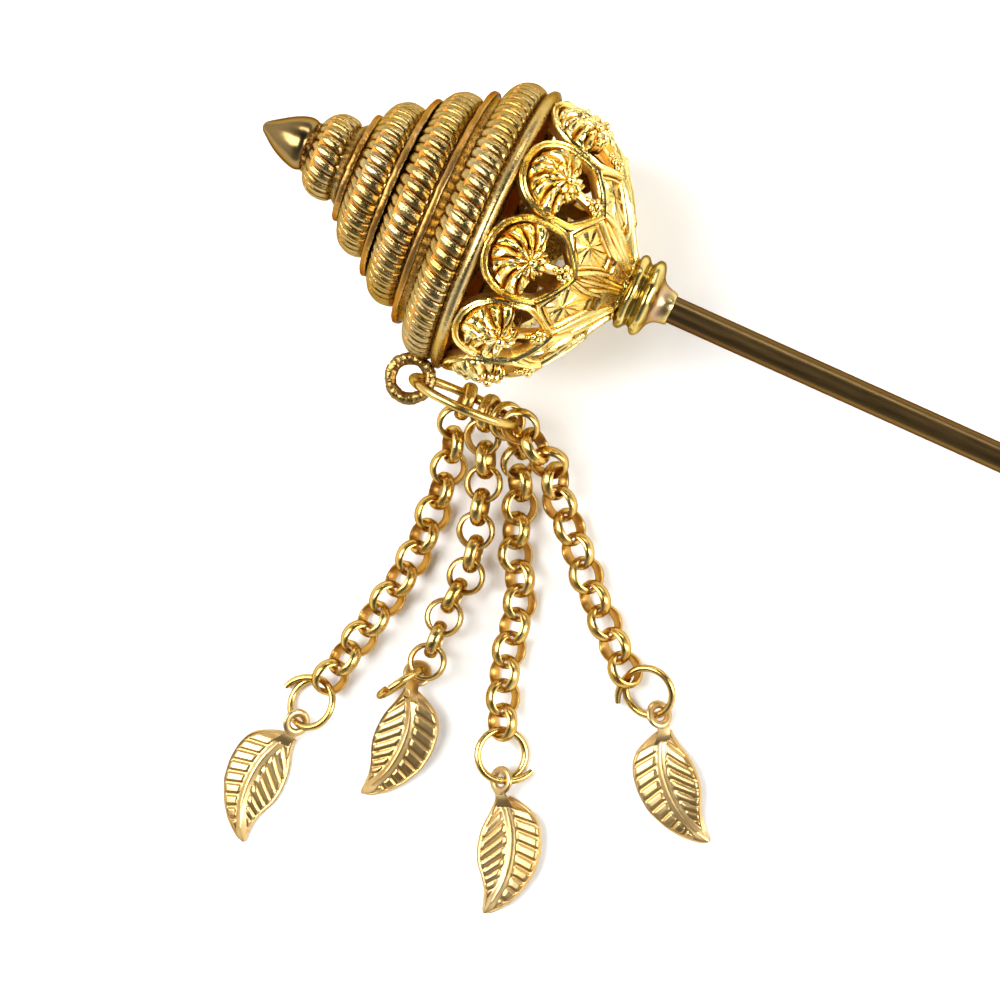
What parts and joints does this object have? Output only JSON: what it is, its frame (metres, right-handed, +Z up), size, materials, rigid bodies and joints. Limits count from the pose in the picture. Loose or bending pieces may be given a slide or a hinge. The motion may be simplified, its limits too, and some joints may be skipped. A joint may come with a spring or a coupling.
{
  "type": "hairpin",
  "caption": "gold-plated buyao hairpin lying flat, with a stepped cone head, a pierced lotus cup, a plain round stick and swinging chains that end in leaves",
  "frame": {"origin": "On the surface that the hairpin lies on, under the middle of its bounding box", "axes": "+Z up; +X along the lying pin from the finial towards the stick's blunt end; the chains lie on the -Y side"},
  "size_m": [0.1628, 0.0894, 0.0319],
  "materials": {
    "polished_gold": "bright polished gold plate on a brass casting",
    "cast_gold": "gold plate on cast ribs, darker in the grooves",
    "aged_gold": "gold plate worn to a brownish tone",
    "stick_gold": "brownish gold plate, polished lengthwise",
    "chain_gold": "bright gold-plated wire",
    "satin_gold": "pale satin gold plate on stamped sheet"
  },
  "bodies": {
    "root": {"finial": "polished_gold", "head_cone": "aged_gold", "rope_band_1": "cast_gold", "rope_band_2": "cast_gold", "rope_band_3": "cast_gold", "rope_band_4": "cast_gold", "lotus_cup": "polished_gold", "collar": "polished_gold", "stick": "stick_gold", "chain_eye": "aged_gold", "chain_ring": "chain_gold", "chain_1": "chain_gold", "chain_2": "chain_gold", "chain_3": "chain_gold", "chain_4": "chain_gold", "leaf_ring_1": "chain_gold", "leaf_ring_2": "chain_gold", "leaf_ring_3": "chain_gold", "leaf_ring_4": "chain_gold", "leaf_1": "satin_gold", "leaf_2": "satin_gold", "leaf_3": "satin_gold", "leaf_4": "satin_gold"}
  },
  "joints": []
}
